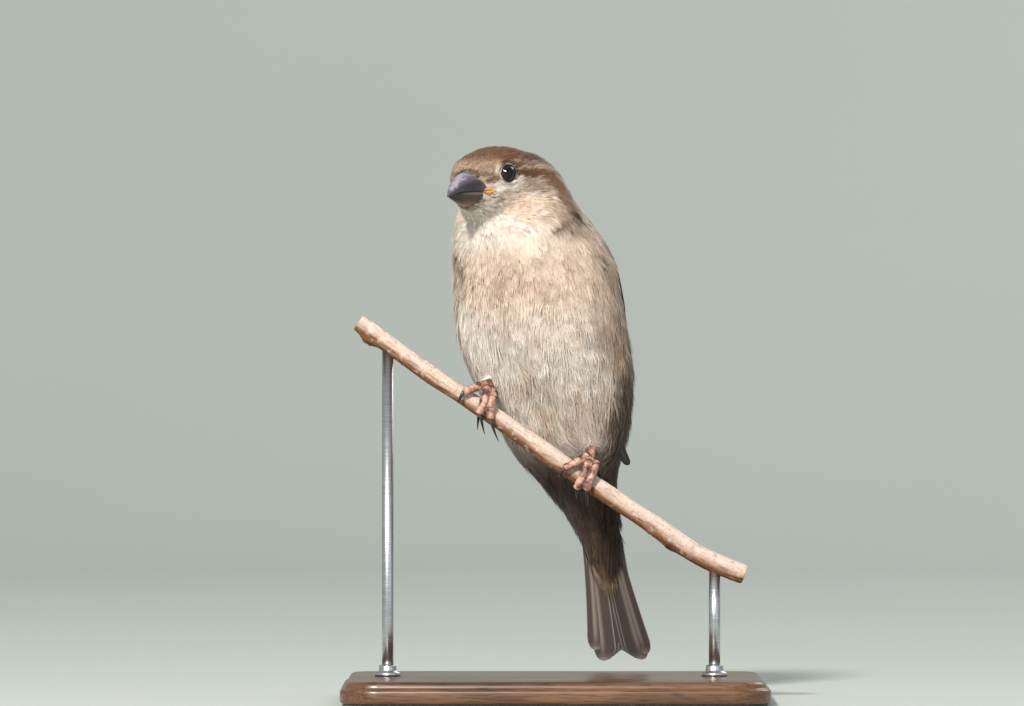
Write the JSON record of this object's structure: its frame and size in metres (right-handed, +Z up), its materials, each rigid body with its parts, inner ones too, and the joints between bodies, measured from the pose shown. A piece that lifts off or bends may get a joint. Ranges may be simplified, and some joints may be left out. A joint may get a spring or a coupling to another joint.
{
  "type": "female house sparrow on a perch and display stand",
  "caption": "Life-size still model of a female house sparrow gripping a cut length of branch, on a wooden display base with two rods.",
  "frame": {"origin": "middle of the underside of the stand's base", "axes": "+Z up; the bird faces -Y, its body turned 20 degrees and its head 32 degrees towards -X; +X is to its own left, along the branch's fall"},
  "size_m": [0.112, 0.09, 0.1464],
  "materials": {
    "plumage": "soft buff-grey contour feathers",
    "flight_feathers": "dark brown vanes with buff edges",
    "bill_horn": "smooth horn, slate above and pinkish below",
    "eye": "wet, nearly black",
    "leg_skin": "pinkish scaled skin",
    "claw_horn": "dark horn",
    "bark": "pale weathered bark",
    "base_wood": "satin varnish",
    "rod_steel": "brushed"
  },
  "bodies": {
    "root": {"bill_lower": "bill_horn", "bill_upper": "bill_horn", "claw_left_hind": "claw_horn", "claw_left_inner": "claw_horn", "claw_left_middle": "claw_horn", "claw_left_outer": "claw_horn", "claw_right_hind": "claw_horn", "claw_right_inner": "claw_horn", "claw_right_middle": "claw_horn", "claw_right_outer": "claw_horn", "eye_left": "eye", "eye_right": "eye", "head": "plumage", "leg_left": "leg_skin", "leg_right": "leg_skin", "neck": "plumage", "perch_branch": "bark", "stand_base": "base_wood", "stand_rod_left": "rod_steel", "stand_rod_right": "rod_steel", "tail": "flight_feathers", "trunk": "plumage", "wing_left": "flight_feathers", "wing_right": "flight_feathers"}
  },
  "joints": []
}
